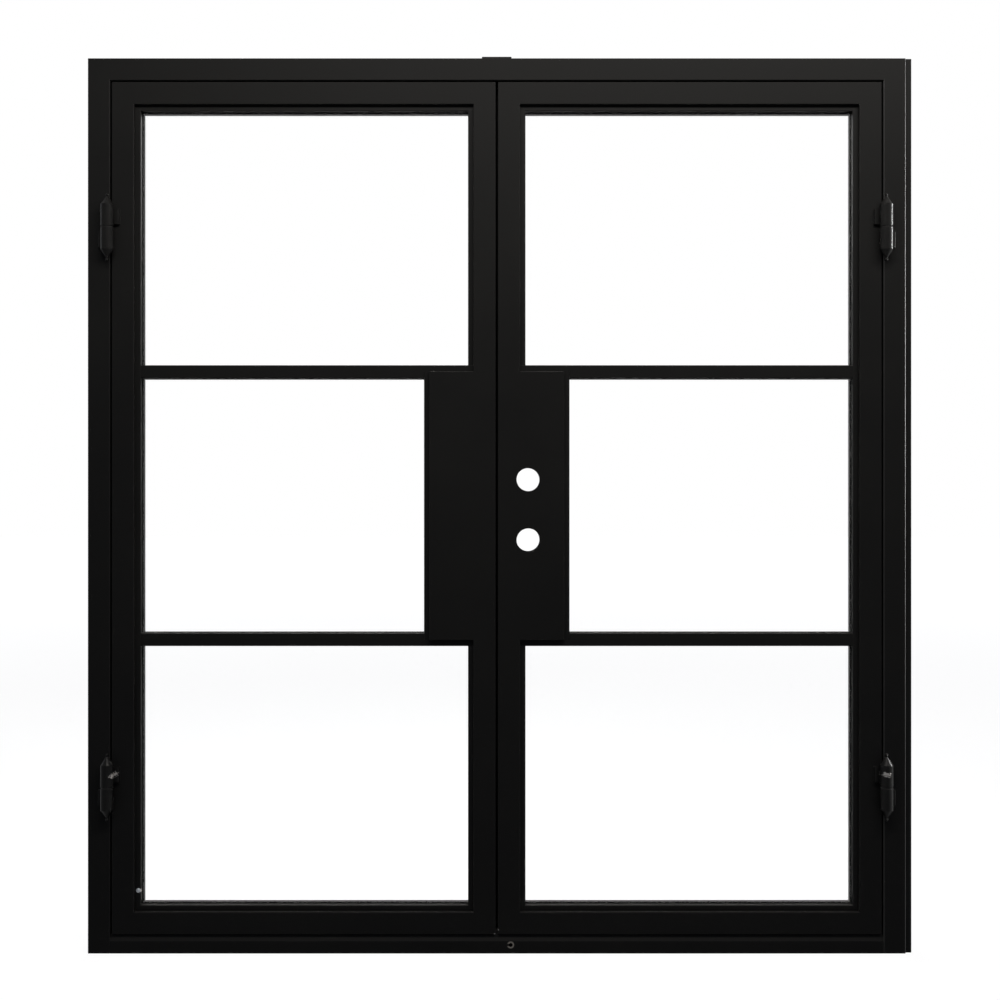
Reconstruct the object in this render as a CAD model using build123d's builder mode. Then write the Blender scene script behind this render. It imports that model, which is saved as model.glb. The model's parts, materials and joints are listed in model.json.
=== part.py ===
from build123d import *
import math
import os

os.makedirs("parts", exist_ok=True)

# Steel french doors in their frame. X is to the right, Y runs from the front to the back, Z is up.
# The origin is at the middle of the frame's base. Lengths are in millimetres.

# Frame of rectangular tube, mitred at the head
frame_width = 1879.6
frame_height = 2057.4
frame_depth = 101.6
frame_face = 50.8
frame_wall = 3.0
frame_round = 2.0

# Wall anchors, in the rebate behind the leaves
anchor_radius = 5.5
anchor_count = 4
anchor_inset = 200.0
anchor_back_inset = 10.5

# Strip along the right jamb and plate on the head
flange_width = 15.0
flange_thickness = 6.0
flange_set_back = 6.0
plate_width = 68.0
plate_depth = 60.0
plate_thickness = 4.0

# Threshold of folded sheet between the jambs
threshold_height = 28.0
sill_bevel = 8.0
shelf_gap = 3.0
threshold_wall = 3.0
threshold_round = 1.5
sill_stop_height = 54.0
sill_back_height = 34.0
bush_offset = 32.0
bush_radius = 8.0
bush_bore_radius = 4.6
bush_proud = 1.0
bush_slot = 5.0

# Door stops and their bulb seals
stop_face = 19.0
stop_depth = 25.4
stop_wall = 1.6
stop_round = 1.0
stop_gap = 4.0
seal_width = 8.0
seal_inset = 4.0
seal_round = 1.6
seal_clearance = 0.3

# Leaves of square tube, flush with the front of the frame
leaf_face = 50.8
leaf_depth = 50.8
leaf_wall = 2.5
leaf_round = 1.5
side_gap = 4.5
head_gap = 4.0
centre_gap = 5.5
sill_gap = 16.0

# Glazing lip round each light, glazing bars and lock boxes
lip_width = 12.7
lip_depth = 10.0
lip_recess = 10.0
lip_round = 2.0
bar_face = 30.0
bar_web = 4.0
box_width = 152.4
box_height = 618.0
box_middle = 1029.0
box_round = 2.0

# Sealed double glazing
pane_thickness = 4.0
pane_gap = 7.0
pane_clearance = 2.5
tape_thickness = 1.5
tape_width = 7.0
spacer_width = 6.0
spacer_inset = 1.5
block_length = 100.0
block_share = 0.25
bead_chamfer = 1.5
bead_joint = 0.3

# Lock preparation in the right leaf and strike slots in the left leaf
lock_backset = 69.85
lock_bore_radius = 27.0
lock_spacing = 139.7
lock_middle = 1019.5
latch_radius = 12.7
strike_width = 16.0
strike_height = 32.0

# Barrel hinges welded to the face of leaf and jamb
hinge_side_offset = 1.0
hinge_stand_off = 17.0
upper_hinge_drop = 337.6
lower_hinge_rise = 342.0
barrel_radius = 15.0
barrel_half = 51.5
barrel_chamfer = 0.8
cone_length = 18.0
neck_radius = 2.6
neck_length = 1.6
finial_radius = 3.8
pin_radius = 6.0
pin_below = 40.0
pin_above = 36.0
pin_chamfer = 0.8
pin_clearance = 0.06
pin_end_room = 0.5
washer_radius = 13.5
washer_thickness = 1.8
washer_play = 0.3
tongue_start = 6.5
tongue_end = 24.0
tongue_thickness = 7.5
tongue_low = 9.0
tongue_high = 44.0
tongue_round = 2.0

# Flush bolts in the meeting stile of the left leaf
bolt_radius = 6.35
bolt_length = 250.0
bolt_chamfer = 1.5
bolt_set_back = 1.0
bolt_clearance = 0.4
upper_bolt_travel = 20.0
lower_bolt_travel = 30.0
keeper_radius = 7.6
thumb_width = 8.0
thumb_height = 14.0
thumb_set_back = 0.6
thumb_share = 0.6
slot_clearance = 0.6
guide_height = 18.0
guide_margin = 4.0

# Brush strip on the meeting edge of the left leaf
brush_width = 5.0
brush_clearance = 0.2
brush_back_inset = 4.0
brush_end_gap = 4.0

cut_overrun = 5.0

# Places worked out from the sizes above
front_y = -frame_depth / 2
back_y = frame_depth / 2
leaf_back_y = front_y + leaf_depth
leaf_middle_y = front_y + leaf_depth / 2
opening_half = frame_width / 2 - frame_face
opening_top = frame_height - frame_face
leaf_edge = opening_half - side_gap
leaf_width = leaf_edge - centre_gap / 2
leaf_top = opening_top - head_gap
leaf_bottom = threshold_height + sill_gap
stop_y = leaf_back_y + stop_gap
lip_y = front_y + lip_recess
glass_y = lip_y + lip_depth + tape_thickness
glass_depth = 2 * pane_thickness + pane_gap
bead_y = glass_y + glass_depth + tape_thickness
box_top = box_middle + box_height / 2
box_bottom = box_middle - box_height / 2
anchor_y = back_y - anchor_back_inset
anchor_spacing = (frame_height - 2 * anchor_inset) / (anchor_count - 1)
shelf_height = leaf_bottom - shelf_gap
hinge_heights = {"upper": leaf_top - upper_hinge_drop, "lower": leaf_bottom + lower_hinge_rise}
hinge_x = opening_half + hinge_side_offset
hinge_y = front_y - hinge_stand_off
sides = {"left": -1, "right": 1}


def keep_part(piece, name):
    piece.part.label = name
    export_step(piece.part, f"parts/{name}.step")


def tube_section(across, along, across_size, along_size, wall, rounding):
    with Locations((across, along)):
        RectangleRounded(across_size, along_size, rounding)
        Rectangle(across_size - 2 * wall, along_size - 2 * wall, mode=Mode.SUBTRACT)


def mitre(x, z, x_way, z_way):
    split(bisect_by=Plane(origin=(x, 0, z), z_dir=(x_way, 0, z_way)), keep=Keep.TOP)


def block(x_range, y_range, z_range, mode=Mode.ADD):
    spans = [x_range, y_range, z_range]
    middle = tuple(sum(span) / 2 for span in spans)
    sizes = [abs(span[1] - span[0]) for span in spans]
    with Locations(middle):
        Box(*sizes, mode=mode)


# Jambs run to the floor and carry the wall anchors
for side, hand in sides.items():
    jamb_x = hand * (opening_half + frame_face / 2)
    with BuildPart() as jamb:
        with BuildSketch(Plane.XY):
            tube_section(jamb_x, 0, frame_face, frame_depth, frame_wall, frame_round)
        extrude(amount=frame_height)
        mitre(hand * frame_width / 2, frame_height, hand, -1)
        anchor_plane = Plane(origin=(jamb_x, anchor_y, frame_height / 2), x_dir=(0, 0, 1), z_dir=(1, 0, 0))
        with Locations(anchor_plane):
            with GridLocations(anchor_spacing, 0, anchor_count, 1):
                Cylinder(anchor_radius, frame_face + 2 * cut_overrun, mode=Mode.SUBTRACT)
    keep_part(jamb, f"{side}_jamb")

# Head, with the keeper hole of the upper flush bolt in its lower wall
bolt_x = -(centre_gap / 2 + leaf_face / 2)
with BuildPart() as head:
    with BuildSketch(Plane.YZ.offset(-frame_width / 2)):
        tube_section(0, frame_height - frame_face / 2, frame_depth, frame_face, frame_wall, frame_round)
    extrude(amount=frame_width)
    mitre(-frame_width / 2, frame_height, 1, 1)
    mitre(frame_width / 2, frame_height, -1, 1)
    with Locations((bolt_x, leaf_middle_y, opening_top)):
        Cylinder(keeper_radius, 2 * (frame_wall + cut_overrun), mode=Mode.SUBTRACT)
keep_part(head, "head_jamb")

with BuildPart() as plate:
    with BuildSketch(Plane.XY.offset(frame_height)):
        with Locations((0, front_y + frame_round + plate_depth / 2)):
            Rectangle(plate_width, plate_depth)
    extrude(amount=plate_thickness)
    chamfer(plate.faces().sort_by(Axis.Z)[-1].edges(), length=plate_thickness / 4)
keep_part(plate, "head_anchor_plate")

with BuildPart() as flange:
    flange_y = front_y + flange_set_back
    block(
        (frame_width / 2, frame_width / 2 + flange_width),
        (flange_y, flange_y + flange_thickness),
        (0, frame_height),
    )
    fillet(flange.edges().filter_by(Axis.Z).sort_by(Axis.X)[-2:], radius=flange_thickness / 6)
keep_part(flange, "right_jamb_flange")

# Threshold folded from sheet: bevelled nose, shelf under the leaves and an upstand that they close against
bush_x = bush_offset
bush_z = threshold_height - bush_radius
with BuildPart() as threshold:
    with BuildSketch(Plane.YZ.offset(-opening_half)) as fold:
        with BuildLine():
            Polyline(
                (front_y, 0),
                (front_y, threshold_height),
                (front_y + sill_bevel, shelf_height),
                (stop_y, shelf_height),
                (stop_y, sill_stop_height),
                (stop_y + stop_depth, sill_stop_height),
                (stop_y + stop_depth, sill_back_height),
                (back_y, sill_back_height),
                (back_y, 0),
                close=True,
            )
        make_face()
        upper_corners = fold.vertices().filter_by_position(Axis.Y, threshold_wall, frame_height)
        fillet(upper_corners, radius=threshold_round)
        offset(amount=-threshold_wall, mode=Mode.SUBTRACT)
    extrude(amount=2 * opening_half)
    with Locations((bolt_x, leaf_middle_y, shelf_height)):
        Cylinder(keeper_radius, 2 * (threshold_wall + cut_overrun), mode=Mode.SUBTRACT)
    with Locations(Plane(origin=(bush_x, front_y, bush_z), z_dir=(0, -1, 0))):
        Cylinder(bush_bore_radius, 2 * (threshold_wall + cut_overrun), mode=Mode.SUBTRACT)
keep_part(threshold, "threshold")

# Split ring round the drain hole in the threshold's front
with BuildPart() as bush:
    with BuildSketch(Plane(origin=(bush_x, front_y, bush_z), x_dir=(1, 0, 0), z_dir=(0, -1, 0))):
        Circle(bush_radius)
        Circle(bush_bore_radius, mode=Mode.SUBTRACT)
        with Locations((-bush_radius, 0)):
            Rectangle(2 * bush_radius, bush_slot, mode=Mode.SUBTRACT)
    extrude(amount=bush_proud)
keep_part(bush, "threshold_drain_ring")

# Stops behind the leaves
for side, hand in sides.items():
    with BuildPart() as stop:
        with BuildSketch(Plane.XY.offset(sill_stop_height)):
            stop_x = hand * (opening_half - stop_face / 2)
            tube_section(stop_x, stop_y + stop_depth / 2, stop_face, stop_depth, stop_wall, stop_round)
        extrude(amount=opening_top - stop_face - sill_stop_height)
    keep_part(stop, f"{side}_stop")

with BuildPart() as head_stop:
    with BuildSketch(Plane.YZ.offset(-opening_half)):
        stop_z = opening_top - stop_face / 2
        tube_section(stop_y + stop_depth / 2, stop_z, stop_depth, stop_face, stop_wall, stop_round)
    extrude(amount=2 * opening_half)
keep_part(head_stop, "head_stop")

# Bulb seals on the stops and on the sill's upstand
seal_depth = stop_gap - seal_clearance
seal_y = stop_y - seal_depth / 2
seal_reach = opening_half - stop_face + seal_width + seal_inset / 2
with BuildPart() as seals:
    for hand in sides.values():
        with BuildSketch(Plane.XY.offset(sill_stop_height)):
            with Locations((hand * (seal_reach - seal_width / 2), seal_y)):
                RectangleRounded(seal_width, seal_depth, seal_round)
        extrude(amount=opening_top - stop_face - sill_stop_height)
    for seal_z in (opening_top - stop_face + seal_width / 2, sill_stop_height - seal_width / 2):
        with BuildSketch(Plane.YZ.offset(-seal_reach)):
            with Locations((seal_y, seal_z)):
                RectangleRounded(seal_depth, seal_width, seal_round)
        extrude(amount=2 * seal_reach)
keep_part(seals, "frame_seals")


# Turned hinge knuckle: barrel, cone, neck and ball finial about a blind pin bore
def knuckle(x, z, way, tongue_way):
    seat = washer_thickness / 2 + (washer_play if way > 0 else 0)
    bore = pin_radius + pin_clearance
    bore_end = (pin_above if way > 0 else pin_below) + pin_end_room
    cone_end = barrel_half + cone_length
    neck_end = cone_end + neck_length
    ball_middle = neck_end + math.sqrt(finial_radius**2 - neck_radius**2)
    profile_plane = Plane(origin=(x, hinge_y, z), x_dir=(1, 0, 0), z_dir=(0, -1, 0))
    with BuildPart() as turned:
        with BuildSketch(profile_plane):
            with BuildLine():
                Polyline(
                    (0, way * (ball_middle + finial_radius)),
                    (0, way * bore_end),
                    (bore, way * bore_end),
                    (bore, way * seat),
                    (barrel_radius - barrel_chamfer, way * seat),
                    (barrel_radius, way * (seat + barrel_chamfer)),
                    (barrel_radius, way * barrel_half),
                    (neck_radius, way * cone_end),
                    (neck_radius, way * neck_end),
                )
                ThreePointArc(
                    (neck_radius, way * neck_end),
                    (finial_radius, way * ball_middle),
                    (0, way * (ball_middle + finial_radius)),
                )
            make_face()
        revolve(axis=Axis((x, hinge_y, z), (0, 0, 1)))
        with BuildSketch(Plane.XY.offset(z + way * (tongue_low + tongue_high) / 2)) as tongue:
            tongue_x = x + tongue_way * (tongue_start + tongue_end) / 2
            with Locations((tongue_x, front_y - tongue_thickness / 2)):
                Rectangle(tongue_end - tongue_start, tongue_thickness)
            front_corners = tongue.vertices().sort_by(Axis.Y)[:2]
            fillet(front_corners.sort_by(lambda corner: abs(corner.X - x))[-1], radius=tongue_round)
        extrude(amount=(tongue_high - tongue_low) / 2, both=True)
    return turned


for side, hand in sides.items():
    for place, height in hinge_heights.items():
        keep_part(knuckle(hand * hinge_x, height, -1, hand), f"{side}_{place}_frame_knuckle")
        keep_part(knuckle(hand * hinge_x, height, 1, -hand), f"{side}_{place}_leaf_knuckle")

hinge_spots = [(hand * hinge_x, hinge_y, z) for hand in sides.values() for z in hinge_heights.values()]
with BuildPart() as pins:
    for x, y, z in hinge_spots:
        with BuildSketch(Plane.XY.offset(z - pin_below)):
            with Locations((x, y)):
                Circle(pin_radius)
        extrude(amount=pin_below + pin_above)
    chamfer(pins.edges().filter_by(GeomType.CIRCLE), length=pin_chamfer)
keep_part(pins, "hinge_pins")

with BuildPart() as washers:
    for x, y, z in hinge_spots:
        with BuildSketch(Plane.XY.offset(z - washer_thickness / 2)):
            with Locations((x, y)):
                Circle(washer_radius)
                Circle(pin_radius + pin_clearance, mode=Mode.SUBTRACT)
        extrude(amount=washer_thickness)
keep_part(washers, "hinge_washers")

# Lights of a leaf as (near, far, low, high): distances from the hinge edge, then heights
bar_half = bar_web / 2
wide_far = leaf_width - leaf_face
lights = {
    "upper": (leaf_face, wide_far, box_top + bar_half, leaf_top - leaf_face),
    "middle": (leaf_face, leaf_width - box_width, box_bottom + bar_half, box_top - bar_half),
    "lower": (leaf_face, wide_far, leaf_bottom + leaf_face, box_bottom - bar_half),
}

# Width of the bead on each edge of a light, so that the rear sight line follows the front lip
bar_bead = (bar_face - bar_web) / 2
low_beads = {"upper": bar_bead, "middle": bar_bead, "lower": lip_width}
high_beads = {"upper": lip_width, "middle": bar_bead, "lower": bar_bead}

bolt_places = {"upper": (leaf_top, -1, upper_bolt_travel), "lower": (leaf_bottom, 1, lower_bolt_travel)}


def is_near(value, places):
    return min(abs(value - place) for place in places) < bead_joint / 2


def inset(light, amount):
    near, far, low, high = light
    return (near + amount, far - amount, low + amount, high - amount)


for side, hand in sides.items():

    def across(distance):
        return hand * (leaf_edge - distance)

    def span(near, far):
        return sorted((across(near), across(far)))

    def light_face(edges, mode=Mode.ADD):
        near, far, low, high = edges
        with Locations(((across(near) + across(far)) / 2, (low + high) / 2)):
            Rectangle(far - near, high - low, mode=mode)

    # Front edge of a lip, on the side of the light; outward points away from the light
    def lip_arris(piece, run, across_axis, outward):
        long_edges = piece.edges().filter_by(run).sort_by(across_axis, reverse=outward > 0)
        return long_edges[-2:].sort_by(Axis.Y)[0]

    # Hinge stile, mitred at both ends
    with BuildPart() as hinge_stile:
        with BuildSketch(Plane.XY.offset(leaf_bottom)):
            tube_section(across(leaf_face / 2), leaf_middle_y, leaf_face, leaf_depth, leaf_wall, leaf_round)
        extrude(amount=leaf_top - leaf_bottom)
        block(
            span(leaf_face - leaf_wall, leaf_face + lip_width),
            (lip_y, lip_y + lip_depth),
            (leaf_bottom, leaf_top),
        )
        fillet(lip_arris(hinge_stile, Axis.Z, Axis.X, hand), radius=lip_round)
        mitre(across(0), leaf_bottom, hand, 1)
        mitre(across(0), leaf_top, hand, -1)
    keep_part(hinge_stile, f"{side}_hinge_stile")

    # Meeting stile above and below the lock box, with slots for the flush bolts in the left leaf
    for place, (bolt_end, bolt_way, travel) in bolt_places.items():
        low = box_top if place == "upper" else leaf_bottom
        high = leaf_top if place == "upper" else box_bottom
        lip_low = low + bar_face / 2 if place == "upper" else low
        lip_high = high if place == "upper" else high - bar_face / 2
        with BuildPart() as meeting_stile:
            with BuildSketch(Plane.XY.offset(low)):
                stile_x = across(leaf_width - leaf_face / 2)
                tube_section(stile_x, leaf_middle_y, leaf_face, leaf_depth, leaf_wall, leaf_round)
            extrude(amount=high - low)
            block(
                span(wide_far - lip_width, wide_far + leaf_wall),
                (lip_y, lip_y + lip_depth),
                (lip_low, lip_high),
            )
            fillet(lip_arris(meeting_stile, Axis.Z, Axis.X, -hand), radius=lip_round)
            mitre(across(leaf_width), bolt_end, -hand, bolt_way)
            if side == "left":
                thumb_z = bolt_end + bolt_way * (bolt_set_back + bolt_length * thumb_share)
                slot_ends = (thumb_z - bolt_way * travel, thumb_z)
                slot_low = min(slot_ends) - thumb_height / 2 - slot_clearance
                slot_high = max(slot_ends) + thumb_height / 2 + slot_clearance
                slot_half = thumb_width / 2 + slot_clearance
                block(
                    span(leaf_width - 2 * leaf_wall, leaf_width + cut_overrun),
                    (leaf_middle_y - slot_half, leaf_middle_y + slot_half),
                    (slot_low, slot_high),
                    mode=Mode.SUBTRACT,
                )
        keep_part(meeting_stile, f"{side}_{place}_meeting_stile")

    # Rails, mitred to the stiles, with guide holes for the flush bolts in the left leaf
    for place, (rail_end, rail_way, travel) in bolt_places.items():
        rail_z = rail_end + rail_way * leaf_face / 2
        lip_root = rail_end + rail_way * (leaf_face - leaf_wall)
        lip_tip = rail_end + rail_way * (leaf_face + lip_width)
        with BuildPart() as rail:
            with BuildSketch(Plane.YZ.offset(span(0, leaf_width)[0])):
                tube_section(leaf_middle_y, rail_z, leaf_depth, leaf_face, leaf_wall, leaf_round)
            extrude(amount=leaf_width)
            block(span(0, leaf_width), (lip_y, lip_y + lip_depth), sorted((lip_root, lip_tip)))
            fillet(lip_arris(rail, Axis.X, Axis.Z, -rail_way), radius=lip_round)
            mitre(across(0), rail_end, -hand, -rail_way)
            mitre(across(leaf_width), rail_end, hand, -rail_way)
            if side == "left":
                with Locations((bolt_x, leaf_middle_y, rail_end)):
                    Cylinder(bolt_radius + bolt_clearance, 2 * (leaf_wall + cut_overrun), mode=Mode.SUBTRACT)
        keep_part(rail, f"{side}_{'top' if place == 'upper' else 'bottom'}_rail")

    # Caps that close the lock box beside the meeting stile, rounded on their front edge
    lock_edge = leaf_width - box_width
    with BuildPart() as box_caps:
        for cap_end, cap_way in ((box_top, -1), (box_bottom, 1)):
            block(
                span(lock_edge + leaf_wall, wide_far),
                (front_y + leaf_wall, leaf_back_y - leaf_wall),
                sorted((cap_end, cap_end + cap_way * leaf_wall)),
            )
    with BuildPart() as cap_edges:
        for cap_end, cap_way in ((box_top, -1), (box_bottom, 1)):
            block(
                span(lock_edge + leaf_round, wide_far),
                (front_y, front_y + box_round),
                sorted((cap_end, cap_end + cap_way * box_round)),
            )
            rod_x = sum(span(lock_edge + leaf_round, wide_far)) / 2
            with Locations((rod_x, front_y + box_round, cap_end + cap_way * box_round)):
                Cylinder(box_round, box_width, rotation=(0, 90, 0), mode=Mode.SUBTRACT)

    # Lock box between the two lengths of the meeting stile
    with BuildPart() as lock_box:
        with BuildSketch(Plane.XY.offset(box_bottom)):
            box_x = across(leaf_width - box_width / 2)
            tube_section(box_x, leaf_middle_y, box_width, leaf_depth, leaf_wall, leaf_round)
        extrude(amount=box_height)
        add(box_caps.part)
        if side == "right":
            lock_spot = (across(leaf_width - lock_backset), leaf_middle_y, lock_middle)
            latch_spot = (across(leaf_width), leaf_middle_y, lock_middle)
            bore_plane = Plane(origin=lock_spot, x_dir=(0, 0, 1), z_dir=(0, -1, 0))
            with Locations(bore_plane):
                with GridLocations(lock_spacing, 0, 2, 1):
                    Cylinder(lock_bore_radius, leaf_depth + 2 * cut_overrun, mode=Mode.SUBTRACT)
            with Locations(Plane(origin=latch_spot, x_dir=(0, 0, 1), z_dir=(1, 0, 0))):
                with GridLocations(lock_spacing, 0, 2, 1):
                    Cylinder(latch_radius, 2 * (leaf_wall + cut_overrun), mode=Mode.SUBTRACT)
        else:
            for strike_z in (lock_middle - lock_spacing / 2, lock_middle + lock_spacing / 2):
                with Locations((across(leaf_width), leaf_middle_y, strike_z)):
                    Box(2 * (leaf_wall + cut_overrun), strike_width, strike_height, mode=Mode.SUBTRACT)
        add(cap_edges.part, mode=Mode.SUBTRACT)
    keep_part(lock_box, f"{side}_lock_box")

    with BuildPart() as lock_lip:
        block(span(lock_edge - lip_width, lock_edge), (lip_y, lip_y + lip_depth), (box_bottom, box_top))
        fillet(lip_arris(lock_lip, Axis.Z, Axis.X, -hand), radius=lip_round)
    keep_part(lock_lip, f"{side}_lock_box_lip")

    # Glazing bars of tee section, notched over the lock box
    for place, bar_z, box_way in (("upper", box_top, -1), ("lower", box_bottom, 1)):
        with BuildPart() as bar:
            block(
                span(leaf_face + lip_width, wide_far),
                (lip_y, lip_y + lip_depth),
                (bar_z - bar_face / 2, bar_z + bar_face / 2),
            )
            web_rise = (bar_z - bar_half, bar_z + bar_half)
            block(span(leaf_face, wide_far), (lip_y + lip_depth, leaf_back_y), web_rise)
            fillet(bar.edges().filter_by(Axis.X).sort_by(Axis.Y)[:2], radius=lip_round)
            notch = sorted((bar_z, bar_z + box_way * bar_face))
            lip_span = span(lock_edge - lip_width, leaf_width)
            block(lip_span, (front_y, lip_y + lip_depth), notch, mode=Mode.SUBTRACT)
            block(span(lock_edge, leaf_width), (front_y, back_y), notch, mode=Mode.SUBTRACT)
        keep_part(bar, f"{side}_{place}_glazing_bar")

    # Sealed units: two panes each, with their spacer bars between
    for place, light in lights.items():
        near, far, low, high = inset(light, pane_clearance)
        with BuildPart() as glass:
            for pane_y in (glass_y, glass_y + pane_thickness + pane_gap):
                block(span(near, far), (pane_y, pane_y + pane_thickness), (low, high))
        keep_part(glass, f"{side}_{place}_glass")

    with BuildPart() as spacers:
        for light in lights.values():
            spacer = inset(light, pane_clearance + spacer_inset)
            with BuildSketch(Plane.XZ.offset(-glass_y - pane_thickness)):
                light_face(spacer)
                light_face(inset(spacer, spacer_width), Mode.SUBTRACT)
            extrude(amount=-pane_gap)
    keep_part(spacers, f"{side}_glass_spacers")

    with BuildPart() as tapes:
        for light in lights.values():
            tape = inset(light, pane_clearance)
            for tape_y in (glass_y - tape_thickness, glass_y + glass_depth):
                with BuildSketch(Plane.XZ.offset(-tape_y)):
                    light_face(tape)
                    light_face(inset(tape, tape_width), Mode.SUBTRACT)
                extrude(amount=-tape_thickness)
    keep_part(tapes, f"{side}_glazing_tapes")

    with BuildPart() as blocks:
        for near, far, low, high in lights.values():
            for share in (block_share, 1 - block_share):
                middle = near + (far - near) * share
                block(
                    span(middle - block_length / 2, middle + block_length / 2),
                    (glass_y, glass_y + glass_depth),
                    (low, low + pane_clearance),
                )
    keep_part(blocks, f"{side}_setting_blocks")

    # Rear beads: the level ones run through, the upright ones stand between them
    with BuildPart() as beads:
        for place, (near, far, low, high) in lights.items():
            low_edge = low + low_beads[place]
            high_edge = high - high_beads[place]
            for bead_span, bead_rise in (
                ((near, far), (low, low_edge)),
                ((near, far), (high_edge, high)),
                ((near, near + lip_width), (low_edge + bead_joint, high_edge - bead_joint)),
                ((far - lip_width, far), (low_edge + bead_joint, high_edge - bead_joint)),
            ):
                block(span(*bead_span), (bead_y, leaf_back_y), bead_rise)
        for place, (near, far, low, high) in lights.items():
            sight_x = (across(near + lip_width), across(far - lip_width))
            sight_z = (low + low_beads[place], high - high_beads[place])
            back_edges = beads.edges().filter_by_position(Axis.Y, leaf_back_y - bead_joint, back_y)
            level = [edge for edge in back_edges.filter_by(Axis.X) if is_near(edge.center().Z, sight_z)]
            plumb = [edge for edge in back_edges.filter_by(Axis.Z) if is_near(edge.center().X, sight_x)]
            chamfer(level + plumb, length=bead_chamfer)
    keep_part(beads, f"{side}_rear_beads")

# Flush bolts of the left leaf with their thumb pieces, and the guide blocks inside the stile
for place, (bolt_end, bolt_way, travel) in bolt_places.items():
    near_end = bolt_end + bolt_way * bolt_set_back
    far_end = near_end + bolt_way * bolt_length
    with BuildPart() as bolt:
        with BuildSketch(Plane.XY.offset(min(near_end, far_end))):
            with Locations((bolt_x, leaf_middle_y)):
                Circle(bolt_radius)
        extrude(amount=bolt_length)
        chamfer(bolt.edges().filter_by(GeomType.CIRCLE), length=bolt_chamfer)
        thumb_z = near_end + bolt_way * bolt_length * thumb_share
        block(
            (bolt_x, -centre_gap / 2 - thumb_set_back),
            (leaf_middle_y - thumb_width / 2, leaf_middle_y + thumb_width / 2),
            (thumb_z - thumb_height / 2, thumb_z + thumb_height / 2),
        )
    keep_part(bolt, f"left_{place}_flush_bolt")

with BuildPart() as guides:
    for bolt_end, bolt_way, travel in bolt_places.values():
        far_end = bolt_end + bolt_way * (bolt_set_back + bolt_length)
        guide_z = far_end - bolt_way * (travel + guide_margin + guide_height / 2)
        with BuildSketch(Plane.XY.offset(guide_z - guide_height / 2)):
            with Locations((bolt_x, leaf_middle_y)):
                Rectangle(leaf_face - 2 * leaf_wall, leaf_depth - 2 * leaf_wall)
                Circle(bolt_radius + bolt_clearance, mode=Mode.SUBTRACT)
        extrude(amount=guide_height)
keep_part(guides, "left_bolt_guides")

with BuildPart() as brush:
    brush_y = leaf_back_y - brush_back_inset
    block(
        (-centre_gap / 2, centre_gap / 2 - brush_clearance),
        (brush_y - brush_width, brush_y),
        (sill_stop_height + brush_end_gap, leaf_top - brush_end_gap),
    )
keep_part(brush, "left_meeting_brush")
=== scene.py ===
import bpy
import json
import math
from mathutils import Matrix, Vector


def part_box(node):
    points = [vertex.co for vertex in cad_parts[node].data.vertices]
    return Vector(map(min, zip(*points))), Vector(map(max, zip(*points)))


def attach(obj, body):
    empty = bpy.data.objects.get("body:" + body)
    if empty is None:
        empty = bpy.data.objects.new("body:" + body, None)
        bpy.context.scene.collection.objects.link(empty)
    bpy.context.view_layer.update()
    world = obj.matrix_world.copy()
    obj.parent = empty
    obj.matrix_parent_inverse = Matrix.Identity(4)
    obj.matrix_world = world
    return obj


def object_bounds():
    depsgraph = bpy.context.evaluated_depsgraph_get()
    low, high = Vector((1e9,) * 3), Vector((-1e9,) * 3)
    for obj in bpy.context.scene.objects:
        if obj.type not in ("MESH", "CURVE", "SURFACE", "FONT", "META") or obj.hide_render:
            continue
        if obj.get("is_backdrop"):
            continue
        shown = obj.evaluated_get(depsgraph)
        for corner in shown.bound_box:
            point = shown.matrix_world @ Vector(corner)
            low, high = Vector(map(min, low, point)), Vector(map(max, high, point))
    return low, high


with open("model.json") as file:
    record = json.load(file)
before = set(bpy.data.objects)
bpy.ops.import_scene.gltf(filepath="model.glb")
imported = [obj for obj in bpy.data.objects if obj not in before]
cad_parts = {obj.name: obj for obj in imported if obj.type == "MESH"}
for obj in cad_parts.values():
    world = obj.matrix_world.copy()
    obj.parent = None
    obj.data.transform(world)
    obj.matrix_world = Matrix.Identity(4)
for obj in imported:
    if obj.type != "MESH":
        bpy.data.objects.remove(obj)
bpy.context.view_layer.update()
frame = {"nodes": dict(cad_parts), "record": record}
nodes = frame["nodes"]
slots = {piece["node"]: piece["material_slot"] for piece in frame["record"]["subparts"]}
print("frame loaded:", len(nodes), "pieces")

mmPerMetre = 1000
noiseRange = (0.3, 0.7)  # where most of a noise texture's values lie


def hexColour(code):  # sRGB hex to linear, with alpha
    parts = [int(code[i:i + 2], 16) / 255 for i in (1, 3, 5)]
    linear = [c / 12.92 if c <= 0.04045 else ((c + 0.055) / 1.055) ** 2.4 for c in parts]
    return (*linear, 1.0)


def addNode(tree, kind, inputs=None, out=0, **settings):  # links sockets, sets other inputs
    node = tree.nodes.new("ShaderNode" + kind)
    for name, value in settings.items():
        setattr(node, name, value)
    for name, value in (inputs or {}).items():
        if isinstance(value, bpy.types.NodeSocket):
            tree.links.new(value, node.inputs[name])
        else:
            node.inputs[name].default_value = value
    return node.outputs[out] if node.outputs else None


def newMaterial(name):
    material = bpy.data.materials.new(name)
    material.use_nodes = True
    material.node_tree.nodes.clear()
    return material, material.node_tree


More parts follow.
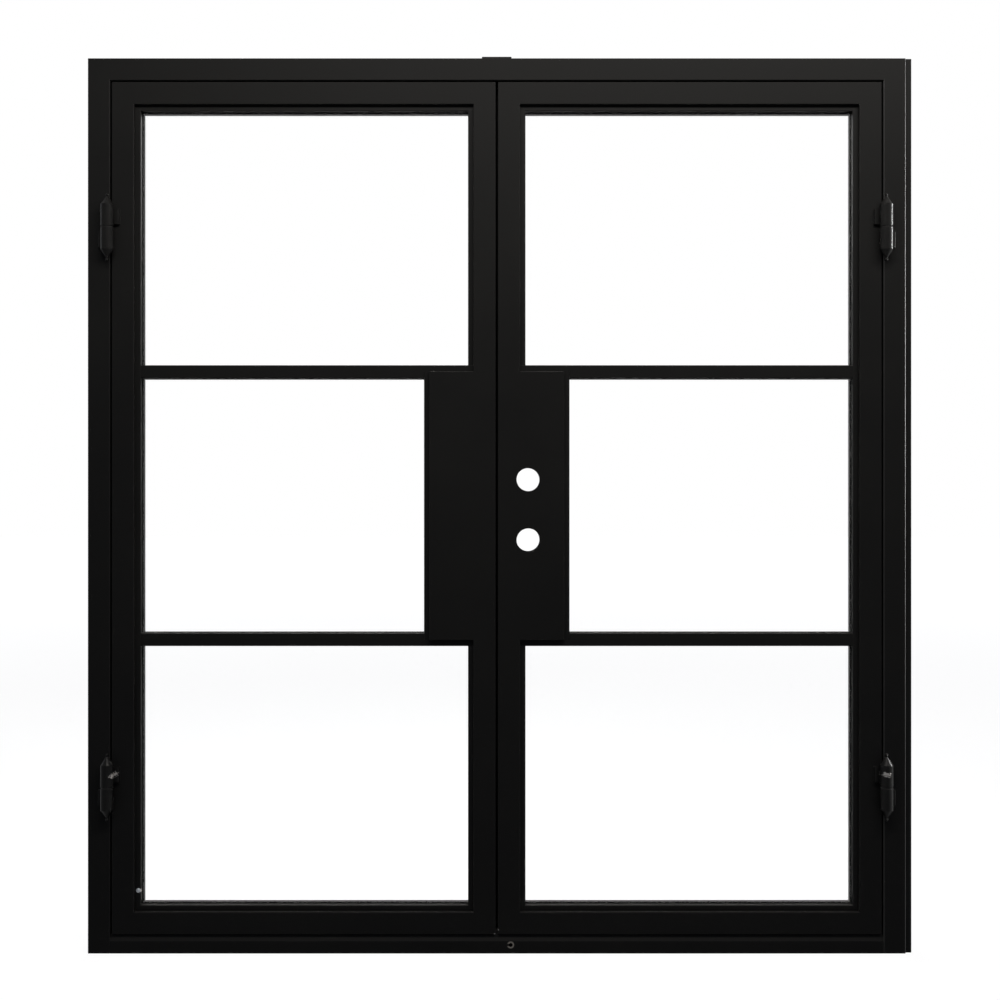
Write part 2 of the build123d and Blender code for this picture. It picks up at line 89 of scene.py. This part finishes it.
# Polyester powder coat: near-black and satin, with a faint orange peel, slow drifts in the sheen,
# rubbed arrises, and a little dust on what faces up whose pale colour also paints in light from
# above
paintLook = {
    "colour": "#131313", "faded": "#1a1a19", "dustAndTopLightColour": "#3a3733", "bareAndGlint": "#a5a29c",
    "roughness": (0.42, 0.54), "specular": 0.02, "arrisSpecular": 0.06,
    "arrisRange": (0.6, 0.97),  # one on a face square to an axis, less on a slanting arris
    "dustAndTopLightShare": 0.12, "dustAndTopLightRange": (0.3, 0.95),  # dust and painted top light, by how far a face looks up
    "driftMm": 190, "driftDetail": 5.0,
    "peelMm": 7, "peelHeightMm": 0.04, "peelStrength": 0.5,  # real peel is near 2 mm across
    "chipsAndGlints": [  # chipped paint whose pale bare colour also paints in a glint; middle and half size, mm
        ((2.4, -50.8, 54.5), (3.6, 9.0, 3.2)),
        ((-4.6, -50.8, 45.4), (2.8, 9.0, 2.2)),
        ((-819.5, -38.0, 141.4), (6.5, 9.0, 8.5)),
    ],
}
# The trodden sill: the same coat, duller on its bevel
sillLook = dict(paintLook, arrisSpecular=0.03, chipsAndGlints=[])
# The rear beads: the same coat gone dull, which leaves a dark edge round each pane
beadLook = dict(paintLook, specular=0.0, arrisSpecular=0.0, chipsAndGlints=[])
# The right jamb: the same coat, its outer arris rubbed bright
rubbedLook = dict(paintLook, arrisSpecular=0.3, chipsAndGlints=[])
# Enamel on the turned hinges: a glossier black with round highlights
enamelLook = dict(
    paintLook, roughness=(0.22, 0.30), specular=0.03, arrisSpecular=0.04,
    driftMm=60, peelMm=9, peelHeightMm=0.06, chipsAndGlints=[])
# The lower hinges have a torn patch down to grey metal, just above the split
tornLook = dict(enamelLook, bareAndGlint="#9e9b96", chipsAndGlints=[
    ((-874.6, -80.0, 414.0), (11.0, 60.0, 8.0)),
    ((885.6, -80.0, 418.0), (13.0, 60.0, 9.0)),
])
# A chip, also a painted glint: an oval whose edge a noise moves in and out
chipAndGlintLook = {"tearShare": 0.4, "tearDetail": 3.0, "tearWeight": 2.5, "edge": (1.7, 1.9)}


def chipAndGlintMask(tree, place, middle, half):  # one inside the ragged oval
    offset = addNode(tree, "VectorMath", {
        0: place, 1: tuple(v / mmPerMetre for v in middle)}, operation="SUBTRACT")
    scaled = addNode(tree, "VectorMath", {
        0: offset, 1: tuple(mmPerMetre / v for v in half)}, operation="MULTIPLY")
    reach = addNode(tree, "VectorMath", {0: scaled}, out="Value", operation="LENGTH")
    tear = addNode(tree, "TexNoise", {
        "Vector": place, "Scale": mmPerMetre / (half[2] * chipAndGlintLook["tearShare"]),
        "Detail": chipAndGlintLook["tearDetail"]})
    ragged = addNode(tree, "Math", {
        0: tear, 1: chipAndGlintLook["tearWeight"], 2: reach}, operation="MULTIPLY_ADD")
    return addNode(tree, "MapRange", {
        "Value": ragged, "From Min": chipAndGlintLook["edge"][0], "From Max": chipAndGlintLook["edge"][1],
        "To Min": 1.0, "To Max": 0.0})


def paint(name, look):
    material, tree = newMaterial(name)
    place = addNode(tree, "TexCoord", out="Object")
    normal = addNode(tree, "NewGeometry", out="Normal")
    drift = addNode(tree, "TexNoise", {
        "Vector": place, "Scale": mmPerMetre / look["driftMm"], "Detail": look["driftDetail"]})
    colour = addNode(tree, "Mix", {  # a colour mix has its inputs at 6 and 7, its result at 2
        0: drift, 6: hexColour(look["colour"]), 7: hexColour(look["faded"])},
        out=2, data_type="RGBA")
    # Painted light: faces that look up are mixed towards a paler colour, partly dust and partly
    # light from above painted in
    upward = addNode(tree, "SeparateXYZ", {"Vector": normal}, out="Z")
    dustAndTopLightMask = addNode(tree, "MapRange", {
        "Value": upward, "From Min": look["dustAndTopLightRange"][0], "From Max": look["dustAndTopLightRange"][1],
        "To Min": 0.0, "To Max": look["dustAndTopLightShare"]})
    colour = addNode(tree, "Mix", {
        0: dustAndTopLightMask, 6: colour, 7: hexColour(look["dustAndTopLightColour"])}, out=2, data_type="RGBA")
    # Painted highlight: each patch takes the pale bare-metal colour, which stands in for a glint
    # as well as for chipped paint
    for middle, half in look["chipsAndGlints"]:
        bareAndGlint = chipAndGlintMask(tree, place, middle, half)
        colour = addNode(tree, "Mix", {
            0: bareAndGlint, 6: colour, 7: hexColour(look["bareAndGlint"])}, out=2, data_type="RGBA")
    squared = addNode(tree, "VectorMath", {0: normal, 1: normal}, operation="MULTIPLY")
    flatness = addNode(tree, "VectorMath", {
        0: squared, 1: squared}, out="Value", operation="DOT_PRODUCT")
    sheen = addNode(tree, "MapRange", {
        "Value": flatness, "From Min": look["arrisRange"][0], "From Max": look["arrisRange"][1],
        "To Min": look["arrisSpecular"], "To Max": look["specular"]})
    rough = addNode(tree, "MapRange", {
        "Value": drift, "From Min": noiseRange[0], "From Max": noiseRange[1],
        "To Min": look["roughness"][0], "To Max": look["roughness"][1]})
    peel = addNode(tree, "TexNoise", {"Vector": place, "Scale": mmPerMetre / look["peelMm"]})
    bump = addNode(tree, "Bump", {
        "Height": peel, "Strength": look["peelStrength"],
        "Distance": look["peelHeightMm"] / mmPerMetre})
    shader = addNode(tree, "BsdfPrincipled", {
        "Base Color": colour, "Roughness": rough, "Specular IOR Level": sheen, "Normal": bump})
    addNode(tree, "OutputMaterial", {"Surface": shader})
    return material


# Float glass: clear, with lamps let through to what stands behind
glassLook = {"colour": "#ffffff", "ior": 1.5, "roughness": 0.0}


def floatGlass():
    material, tree = newMaterial("floatGlass")
    glass = addNode(tree, "BsdfPrincipled", {
        "Base Color": hexColour(glassLook["colour"]), "Roughness": glassLook["roughness"],
        "IOR": glassLook["ior"], "Transmission Weight": 1.0})
    clear = addNode(tree, "BsdfTransparent", {"Color": hexColour(glassLook["colour"])})
    shadowRay = addNode(tree, "LightPath", out="Is Shadow Ray")
    both = addNode(tree, "MixShader", {0: shadowRay, 1: glass, 2: clear})
    addNode(tree, "OutputMaterial", {"Surface": both})
    return material


# Metals and soft parts: two tones drifting, a roughness range and a fine grain
grainLook = {"driftShare": 6, "driftDetail": 4.0, "strength": 0.6}
plainLooks = {
    "blackNeoprene": {  # matt gaskets that stay dark beside the glass
        "tones": ("#0e0e0e", "#161616"), "roughness": (0.72, 0.85),
        "grainMm": 3, "heightMm": 0.08, "specular": 0.02},
    "blackAnodisedAluminium": {  # the dyed oxide hides the metal
        "tones": ("#0d0d0d", "#151515"), "roughness": (0.45, 0.55),
        "grainMm": 4, "heightMm": 0.02, "specular": 0.02},
    "groundSteel": {  # bright pins with a fine ground grain
        "tones": ("#8d8d8f", "#a9a9aa"), "roughness": (0.25, 0.38),
        "grainMm": 2, "heightMm": 0.02, "metallic": 1.0},
    "zincPlate": {  # pale, slightly blue plating
        "tones": ("#a4a8ac", "#8b8f95"), "roughness": (0.3, 0.45),
        "grainMm": 5, "heightMm": 0.03, "metallic": 1.0},
    "tarnishedSteel": {  # brown-grey metal gone blotchy
        "tones": ("#5c5955", "#373532"), "roughness": (0.3, 0.5),
        "grainMm": 1.5, "heightMm": 0.04, "metallic": 1.0},
    "blackOxideSteel": {  # dark screws that still glint
        "tones": ("#3a3a3c", "#262627"), "roughness": (0.35, 0.5),
        "grainMm": 3, "heightMm": 0.03, "metallic": 1.0},
    "blackNylon": {  # moulded, with a soft sheen
        "tones": ("#161616", "#1e1e1e"), "roughness": (0.5, 0.6),
        "grainMm": 4, "heightMm": 0.03, "specular": 0.1},
    "wovenPile": {  # a fuzzy strip that takes the light in
        "tones": ("#080808", "#141413"), "roughness": (0.85, 0.95),
        "grainMm": 1.5, "heightMm": 0.4, "specular": 0.05},
}


def plain(name):
    look = plainLooks[name]
    material, tree = newMaterial(name)
    place = addNode(tree, "TexCoord", out="Object")
    drift = addNode(tree, "TexNoise", {
        "Vector": place, "Scale": mmPerMetre / (look["grainMm"] * grainLook["driftShare"]),
        "Detail": grainLook["driftDetail"]})
    colour = addNode(tree, "Mix", {
        0: drift, 6: hexColour(look["tones"][0]), 7: hexColour(look["tones"][1])},
        out=2, data_type="RGBA")
    rough = addNode(tree, "MapRange", {
        "Value": drift, "From Min": noiseRange[0], "From Max": noiseRange[1],
        "To Min": look["roughness"][0], "To Max": look["roughness"][1]})
    grain = addNode(tree, "TexNoise", {"Vector": place, "Scale": mmPerMetre / look["grainMm"]})
    bump = addNode(tree, "Bump", {
        "Height": grain, "Strength": grainLook["strength"],
        "Distance": look["heightMm"] / mmPerMetre})
    shader = addNode(tree, "BsdfPrincipled", {
        "Base Color": colour, "Roughness": rough, "Metallic": look.get("metallic", 0.0),
        "Specular IOR Level": look.get("specular", 0.5), "Normal": bump})
    addNode(tree, "OutputMaterial", {"Surface": shader})
    return material


satinPaint = paint("satinBlackPowderCoat", paintLook)
sillPaint = paint("troddenBlackPowderCoat", sillLook)
beadPaint = paint("dullBlackPowderCoat", beadLook)
rubbedPaint = paint("rubbedBlackPowderCoat", rubbedLook)
hingeEnamel = paint("blackEnamel", enamelLook)
tornEnamel = paint("tornBlackEnamel", tornLook)
zincPlate = plain("zincPlate")
blackOxide = plain("blackOxideSteel")
blackNylon = plain("blackNylon")
slotMaterials = {
    "black_steel": satinPaint, "clear_glass": floatGlass(), "seal_rubber": plain("blackNeoprene"),
    "spacer_aluminium": plain("blackAnodisedAluminium"), "pin_steel": plain("groundSteel"),
    "bolt_steel": zincPlate, "bare_steel": plain("tarnishedSteel"), "guide_nylon": blackNylon,
    "brush_pile": plain("wovenPile"),
}
endMaterials = {  # pieces whose coat differs from their slot's, by the end of their names
    "threshold": sillPaint, "right_jamb": rubbedPaint, "_rear_beads": beadPaint,
    "lower_leaf_knuckle": tornEnamel, "upper_leaf_knuckle": hingeEnamel,
    "_frame_knuckle": hingeEnamel,
}
for name, piece in nodes.items():
    material = slotMaterials[slots[name]]
    for ending, special in endMaterials.items():
        if name.endswith(ending):
            material = special
    piece.data.materials.clear()
    piece.data.materials.append(material)
print("materials set")

mergeDistance = 0.00001
smoothAngle = math.radians(35)
quarterTurn = math.pi / 2


def settle(piece, name, body, material):  # puts the place into the mesh, joins a body
    bpy.ops.object.select_all(action="DESELECT")
    piece.select_set(True)
    bpy.context.view_layer.objects.active = piece
    bpy.ops.object.transform_apply(location=True, rotation=True, scale=True)
    bpy.ops.object.mode_set(mode="EDIT")
    bpy.ops.mesh.select_all(action="SELECT")
    bpy.ops.mesh.remove_doubles(threshold=mergeDistance)
    bpy.ops.mesh.normals_make_consistent(inside=False)
    bpy.ops.object.mode_set(mode="OBJECT")
    bpy.ops.object.shade_smooth_by_angle(angle=smoothAngle)
    piece.name = name
    piece.data.name = name
    piece.data.materials.clear()
    piece.data.materials.append(material)
    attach(piece, body)


bpy.context.tool_settings.mesh_select_mode = (False, False, True)  # faces
facing = 0.9  # how squarely a face looks along an axis to count


def editFaces(piece, axis):  # edit mode, with only the faces that look along an axis selected
    bpy.ops.object.mode_set(mode="EDIT")
    bpy.ops.mesh.select_all(action="DESELECT")
    bpy.ops.object.mode_set(mode="OBJECT")
    for face in piece.data.polygons:
        face.select = face.normal[axis] > facing
    bpy.ops.object.mode_set(mode="EDIT")


def copiesAt(piece, spots):  # one joined object, from copies that each have their own mesh
    copies = []
    for spot in spots:
        copy = piece.copy()
        copy.data = piece.data.copy()
        copy.location = spot
        bpy.context.scene.collection.objects.link(copy)
        copies.append(copy)
    bpy.data.objects.remove(piece)
    bpy.ops.object.select_all(action="DESELECT")
    for copy in copies:
        copy.select_set(True)
    bpy.context.view_layer.objects.active = copies[0]
    bpy.ops.object.join()
    return bpy.context.object


# Button-head socket screw, modelled upright and turned to face the way it shows
screwLook = {"headMm": 3.6, "rimMm": 0.9, "domeMm": 1.1, "socketMm": 1.3, "socketDepthMm": 1.2}
screwSides = {"head": 24, "socket": 6}
domeShares = ((0.18, 0.6), (0.22, 0.3), (0.12, 0.1))  # each ring's inset and rise


def buttonScrew(look, turn):
    size = {name: value / mmPerMetre for name, value in look.items()}
    bpy.ops.object.select_all(action="DESELECT")
    bpy.ops.mesh.primitive_cylinder_add(
        vertices=screwSides["head"], radius=size["headMm"], depth=size["rimMm"],
        location=(0, 0, size["rimMm"] / 2))
    screw = bpy.context.object
    editFaces(screw, 2)
    for inset, rise in domeShares:
        bpy.ops.mesh.inset(thickness=size["headMm"] * inset, depth=size["domeMm"] * rise)
    bpy.ops.object.mode_set(mode="OBJECT")
    bpy.ops.mesh.primitive_cylinder_add(
        vertices=screwSides["socket"], radius=size["socketMm"], depth=2 * size["socketDepthMm"],
        location=(0, 0, size["rimMm"] + size["domeMm"]))
    socket = bpy.context.object
    bpy.ops.object.select_all(action="DESELECT")
    screw.select_set(True)
    bpy.context.view_layer.objects.active = screw
    cut = screw.modifiers.new("socket", "BOOLEAN")
    cut.operation = "DIFFERENCE"
    cut.solver = "EXACT"
    cut.object = socket
    bpy.ops.object.modifier_apply(modifier=cut.name)
    bpy.data.objects.remove(socket)
    screw.rotation_euler = turn
    bpy.ops.object.transform_apply(location=True, rotation=True, scale=True)
    return screw


# Screws of the rear beads, spaced along every side of each light
beadScrewLook = {"insetMm": 4.0, "endMm": 90, "perSide": 3}
inset = beadScrewLook["insetMm"] / mmPerMetre
end = beadScrewLook["endMm"] / mmPerMetre
for side in ("left", "right"):
    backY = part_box(f"{side}_rear_beads")[1].y
    spots = []
    for place in ("upper", "middle", "lower"):
        low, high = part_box(f"{side}_{place}_glass")
        for step in range(beadScrewLook["perSide"]):
            share = step / (beadScrewLook["perSide"] - 1)
            x = low.x + end + (high.x - low.x - 2 * end) * share
            z = low.z + end + (high.z - low.z - 2 * end) * share
            spots += [(x, backY, low.z + inset), (x, backY, high.z - inset)]
            spots += [(low.x + inset, backY, z), (high.x - inset, backY, z)]
    screws = copiesAt(buttonScrew(screwLook, (-quarterTurn, 0, 0)), spots)
    settle(screws, f"{side}BeadScrews", f"{side}_leaf", blackOxide)
print("bead screws set")

# Lone screw with a cup washer on the left leaf's lower lip, bright in the photo
lipScrewLook = {
    "headMm": 2.9, "rimMm": 0.8, "domeMm": 0.9, "socketMm": 1.0, "socketDepthMm": 0.9,
}
cupLook = {"spotMm": (-826.4, -40.8, 141.4), "radiusMm": 5.2, "heightMm": 1.6, "sides": 28}
cupShares = ((0.16, 0.5), (0.12, 0.0), (0.14, -0.7))  # each ring's inset and rise
cupRadius = cupLook["radiusMm"] / mmPerMetre
cupHeight = cupLook["heightMm"] / mmPerMetre
bpy.ops.object.select_all(action="DESELECT")
bpy.ops.mesh.primitive_cylinder_add(
    vertices=cupLook["sides"], radius=cupRadius, depth=cupHeight / 2,
    location=(0, 0, cupHeight / 4))
cup = bpy.context.object
editFaces(cup, 2)
for inset, rise in cupShares:
    bpy.ops.mesh.inset(thickness=cupRadius * inset, depth=cupHeight * rise)
bpy.ops.object.mode_set(mode="OBJECT")
cup.rotation_euler = (quarterTurn, 0, 0)
bpy.ops.object.transform_apply(location=True, rotation=True, scale=True)
head = buttonScrew(lipScrewLook, (quarterTurn, 0, 0))
bpy.ops.object.select_all(action="DESELECT")
head.select_set(True)
cup.select_set(True)
bpy.context.view_layer.objects.active = cup
bpy.ops.object.join()
cup.location = tuple(v / mmPerMetre for v in cupLook["spotMm"])
settle(cup, "leftLipScrew", "left_leaf", zincPlate)
print("lip screw set")

# Weld bead down the outer edge of each hinge tongue: overlapping ripples, painted over
weldLook = {
    "widthMm": 3.0, "pitchMm": 1.9, "voxelMm": 0.7, "sunkMm": 0.5,
    "tongueMm": (9.0, 44.0), "endMm": 2.0,  # the tongue's reach from the split, the bead's inset
    "segments": 14, "rings": 8, "squash": (1.0, 0.8, 1.2),
}


def weldBead(length):
    bpy.ops.object.select_all(action="DESELECT")
    bpy.ops.mesh.primitive_uv_sphere_add(
        segments=weldLook["segments"], ring_count=weldLook["rings"],
        radius=weldLook["widthMm"] / 2 / mmPerMetre, location=(0, 0, 0))
    bead = bpy.context.object
    bpy.ops.object.mode_set(mode="EDIT")
    bpy.ops.mesh.select_all(action="SELECT")
    bpy.ops.transform.resize(value=weldLook["squash"])
    bpy.ops.object.mode_set(mode="OBJECT")
    row = bead.modifiers.new("row", "ARRAY")
    row.use_relative_offset = False
    row.use_constant_offset = True
    row.count = round(length / weldLook["pitchMm"] * mmPerMetre)
    row.constant_offset_displace = (0, 0, length / (row.count - 1))
    bpy.ops.object.modifier_apply(modifier=row.name)
    skin = bead.modifiers.new("skin", "REMESH")
    skin.mode = "VOXEL"
    skin.voxel_size = weldLook["voxelMm"] / mmPerMetre
    bpy.ops.object.modifier_apply(modifier=skin.name)
    return bead


tongueLow, tongueHigh = (v / mmPerMetre for v in weldLook["tongueMm"])
weldEnd = weldLook["endMm"] / mmPerMetre
weldSunk = weldLook["sunkMm"] / mmPerMetre
for side, hand in (("left", -1), ("right", 1)):
    halves = (("frame", "frame", hand, -1), ("leaf", f"{side}_leaf", -hand, 1))
    for half, body, outward, upward in halves:
        spots = []
        for place in ("upper", "lower"):
            low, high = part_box(f"{side}_{place}_{half}_knuckle")
            edgeX = high.x if outward > 0 else low.x
            base = low.z + tongueLow if upward > 0 else high.z - tongueHigh
            spots.append((edgeX, high.y - weldSunk, base + weldEnd))
        welds = copiesAt(weldBead(tongueHigh - tongueLow - 2 * weldEnd), spots)
        settle(welds, f"{side}{half.capitalize()}HingeWelds", body, satinPaint)
print("hinge welds set")

# Fin of the meeting brush: a thin tongue whose tip curls forward until it meets the other leaf
finLook = {"rootMm": 1.2, "thicknessMm": 0.5, "curlMm": 0.6}
finShares = (0.4, 0.6)  # the two lengths of the curl
fin = {name: value / mmPerMetre for name, value in finLook.items()}
low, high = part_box("left_meeting_brush")
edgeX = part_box("right_lower_meeting_stile")[0].x
bpy.ops.object.select_all(action="DESELECT")
bpy.ops.mesh.primitive_cube_add(
    size=1.0, location=(high.x - fin["rootMm"] / 2, (low.y + high.y) / 2, (low.z + high.z) / 2),
    scale=(fin["rootMm"], fin["thicknessMm"], high.z - low.z))
tongue = bpy.context.object
editFaces(tongue, 0)
for share in finShares:
    bpy.ops.mesh.extrude_region_move(TRANSFORM_OT_translate={
        "value": ((edgeX - high.x) * share, -fin["curlMm"] * share, 0)})
bpy.ops.object.mode_set(mode="OBJECT")
settle(tongue, "leftBrushFin", "left_leaf", blackNylon)
print("brush fin set")

# Studio: a white floor and surround for what is seen, a plain soft level for what they light
studioLook = {
    "floor": "#666564", "floorSide": 60.0, "floorRoughness": 0.8,
    "floorGlow": (0.92, 1.0), "glowReach": (2.5, 10.0),  # whiter far off, so that no skyline shows
    "surround": "#ffffff", "ambient": "#8692ac", "ambientStrength": 0.5,
}


def seenRays(tree):  # one where the eye, a reflection or a pane sees the surface
    kinds = ("Camera", "Glossy", "Transmission")
    rays = [addNode(tree, "LightPath", out=f"Is {kind} Ray") for kind in kinds]
    both = addNode(tree, "Math", {0: rays[0], 1: rays[1]}, operation="MAXIMUM")
    return addNode(tree, "Math", {0: both, 1: rays[2]}, operation="MAXIMUM")


bpy.ops.object.select_all(action="DESELECT")
bpy.ops.mesh.primitive_plane_add(size=studioLook["floorSide"], location=(0, 0, 0))
floor = bpy.context.object
floor.name = "studioFloor"
floorMaterial, tree = newMaterial("paleFloor")
place = addNode(tree, "TexCoord", out="Object")
reach = addNode(tree, "VectorMath", {0: place}, out="Value", operation="LENGTH")
level = addNode(tree, "MapRange", {
    "Value": reach,
    "From Min": studioLook["glowReach"][0], "From Max": studioLook["glowReach"][1],
    "To Min": studioLook["floorGlow"][0], "To Max": studioLook["floorGlow"][1]})
glow = addNode(tree, "Math", {0: seenRays(tree), 1: level}, operation="MULTIPLY")
shader = addNode(tree, "BsdfPrincipled", {
    "Base Color": hexColour(studioLook["floor"]), "Roughness": studioLook["floorRoughness"],
    "Specular IOR Level": 0.0,
    "Emission Color": hexColour(studioLook["surround"]), "Emission Strength": glow})
addNode(tree, "OutputMaterial", {"Surface": shader})
floor.data.materials.append(floorMaterial)
floor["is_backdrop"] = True

world = bpy.data.worlds.new("studioWorld")
bpy.context.scene.world = world
world.use_nodes = True
tree = world.node_tree
tree.nodes.clear()
lit = addNode(tree, "Background", {
    "Color": hexColour(studioLook["ambient"]), "Strength": studioLook["ambientStrength"]})
seen = addNode(tree, "Background", {"Color": hexColour(studioLook["surround"]), "Strength": 1.0})
surround = addNode(tree, "MixShader", {0: seenRays(tree), 1: lit, 2: seen})
addNode(tree, "OutputWorld", {"Surface": surround})

lamps = {
    "keyLamp": {  # high in front, so the light falls off down the doors
        "spot": (0.45, -1.3, 2.7), "aim": (0.2, 0.0, 2.1),
        "size": (2.8, 0.3), "watts": 65, "tint": "#fffaf5"},
    "rightLamp": {  # a strip just behind the front plane, caught by the hinges and the outer arris
        "spot": (3.3, 0.02, 1.7), "aim": (0.89, -0.06, 1.4),
        "size": (0.06, 1.6), "watts": 300, "tint": "#ffffff",
        "lights": ("_knuckle", "right_jamb", "_flange")},  # an open leaf would glare in it
    "leftLamp": {
        "spot": (-3.3, 0.02, 1.5), "aim": (-0.9, -0.06, 1.2),
        "size": (0.06, 2.0), "watts": 9, "tint": "#f0f5ff"},
    "backLamp": {  # for views from behind
        "spot": (-0.4, 2.4, 2.8), "aim": (0.0, 0.0, 1.1),
        "size": (2.0, 0.8), "watts": 60, "tint": "#ffffff"},
}
for name, look in lamps.items():
    lamp = bpy.data.lights.new(name, "AREA")
    lamp.shape = "RECTANGLE"
    lamp.size, lamp.size_y = look["size"]
    lamp.energy = look["watts"]
    lamp.color = hexColour(look["tint"])[:3]
    stand = bpy.data.objects.new(name, lamp)
    stand.visible_camera = False
    stand.visible_transmission = False
    stand.location = look["spot"]
    ray = Vector(look["aim"]) - Vector(look["spot"])
    stand.rotation_euler = ray.to_track_quat("-Z", "Y").to_euler()
    bpy.context.scene.collection.objects.link(stand)
    if "lights" in look:  # this lamp lights only the nodes whose names end so
        group = bpy.data.collections.new(name)
        for node, piece in nodes.items():
            if node.endswith(look["lights"]):
                group.objects.link(piece)
        stand.light_linking.receiver_collection = group

cameraLook = {"spot": (0.0075, -2.8008, 1.042), "lensMm": 43.09, "sensorMm": 36.0}
cameraData = bpy.data.cameras.new("photoCamera")
cameraData.lens = cameraLook["lensMm"]
cameraData.sensor_width = cameraLook["sensorMm"]
camera = bpy.data.objects.new("photoCamera", cameraData)
camera.location = cameraLook["spot"]
camera.rotation_euler = (quarterTurn, 0, 0)
bpy.context.scene.collection.objects.link(camera)
bpy.context.scene.camera = camera
bpy.context.scene.view_settings.view_transform = "Standard"
print("studio, lamps and camera set")

low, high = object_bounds()
